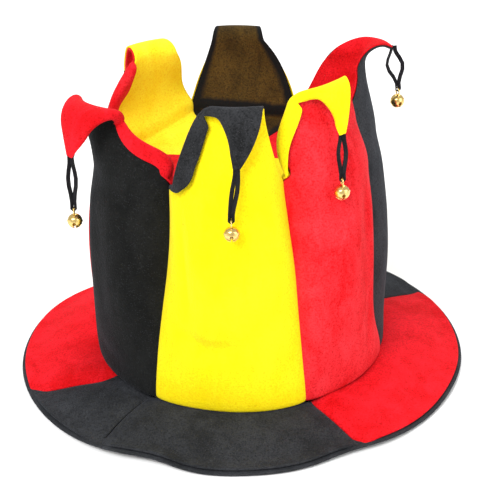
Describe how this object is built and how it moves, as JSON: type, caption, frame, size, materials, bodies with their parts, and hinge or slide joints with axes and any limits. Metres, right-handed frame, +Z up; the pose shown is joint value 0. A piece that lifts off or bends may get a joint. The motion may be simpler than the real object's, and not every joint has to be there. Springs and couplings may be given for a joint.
{
  "type": "jester hat",
  "caption": "Tall soft jester hat with folded, pointed petals that end in bells on ribbons, and a wide soft brim to stand on.",
  "frame": {"origin": "on the table, at the middle of the hat's footprint, under the crown's axis", "axes": "+Z up along the crown's axis, -Y towards the front petal"},
  "size_m": [0.3074, 0.296, 0.2214],
  "materials": {
    "yellow_velour": "short velour pile",
    "red_velour": "short velour pile",
    "black_velour": "short velour pile",
    "black_ribbon": "satin",
    "bell_brass": "polished"
  },
  "bodies": {
    "root": {"crown_panel_front": "yellow_velour", "petal_lining_front": "black_velour", "ribbon_loop_front": "black_ribbon", "bell_front": "bell_brass", "crown_panel_front_right": "red_velour", "petal_lining_front_right": "yellow_velour", "ribbon_loop_front_right": "black_ribbon", "bell_front_right": "bell_brass", "crown_panel_back_right": "black_velour", "petal_lining_back_right": "red_velour", "ribbon_loop_back_right": "black_ribbon", "bell_back_right": "bell_brass", "crown_panel_back": "yellow_velour", "petal_lining_back": "black_velour", "ribbon_loop_back": "black_ribbon", "bell_back": "bell_brass", "crown_panel_back_left": "red_velour", "petal_lining_back_left": "yellow_velour", "ribbon_loop_back_left": "black_ribbon", "bell_back_left": "bell_brass", "crown_panel_front_left": "black_velour", "petal_lining_front_left": "red_velour", "ribbon_loop_front_left": "black_ribbon", "bell_front_left": "bell_brass", "brim_top_front_black": "black_velour", "brim_top_right_red": "red_velour", "brim_top_back_black": "black_velour", "brim_top_left_red": "red_velour", "brim_top_left_black": "black_velour", "brim_underside": "black_velour"}
  },
  "joints": []
}
